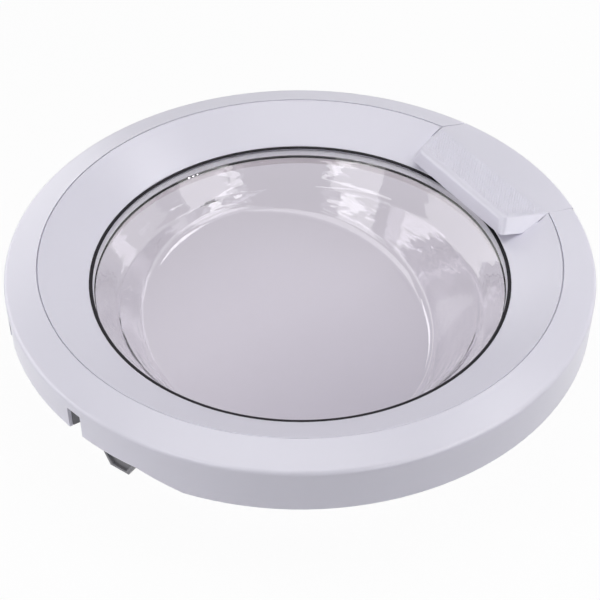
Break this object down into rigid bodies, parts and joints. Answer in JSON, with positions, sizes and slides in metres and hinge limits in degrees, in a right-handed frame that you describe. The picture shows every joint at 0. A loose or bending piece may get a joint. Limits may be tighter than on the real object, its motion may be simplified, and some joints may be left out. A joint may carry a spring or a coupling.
{
  "type": "washing machine door",
  "caption": "Round front-loading washer door: white ring frame, slanted clear glass bowl, sprung pull handle that swings a latch hook, and rear sockets for hinge arms.",
  "frame": {"origin": "middle of the hinge bolt pattern, on the rear faces of the tapped hinge inserts", "axes": "+X from the hinge side to the handle, +Y up as the door hangs in use, +Z out of the door's front"},
  "size_m": [0.4339, 0.434, 0.1187],
  "materials": {
    "white_abs": "satin white moulding",
    "grey_plastic": "matt grey moulding",
    "clear_glass": "clear pressed glass",
    "seal_rubber": "dark seal",
    "zinc_steel": "zinc plated steel",
    "bright_steel": "bright spring steel"
  },
  "bodies": {
    "door": {"outer_frame": "white_abs", "trim_ring": "white_abs", "glass_gasket": "seal_rubber", "glass_bowl": "clear_glass", "rear_frame": "grey_plastic", "hinge_insert_upper": "zinc_steel", "hinge_insert_lower": "zinc_steel", "handle_pin": "bright_steel", "handle_spring": "bright_steel", "hook_pin": "bright_steel", "hook_spring": "bright_steel", "frame_screws": "zinc_steel"},
    "handle": {"handle_lever": "white_abs"},
    "hook": {"latch_hook": "zinc_steel"}
  },
  "joints": [
    {"name": "handle_pull", "type": "hinge", "parent": "door", "child": "handle", "pos_m": [0.391, 0, -0.0005], "axis": [0, 1, 0], "range_deg": [0, 15], "stiffness_Nm_per_rad": 0.2, "springref_deg": -20.05, "deforming": ["handle_spring"]},
    {"name": "hook_swing", "type": "hinge", "parent": "door", "child": "hook", "pos_m": [0.394, 0, -0.0185], "axis": [0, 1, 0], "range_deg": [-18, 0], "stiffness_Nm_per_rad": 0.05, "springref_deg": 11.46, "deforming": ["hook_spring"]}
  ],
  "couplings": [
    {"joint": "hook_swing", "follows": "handle_pull", "ratio": -1.2}
  ]
}
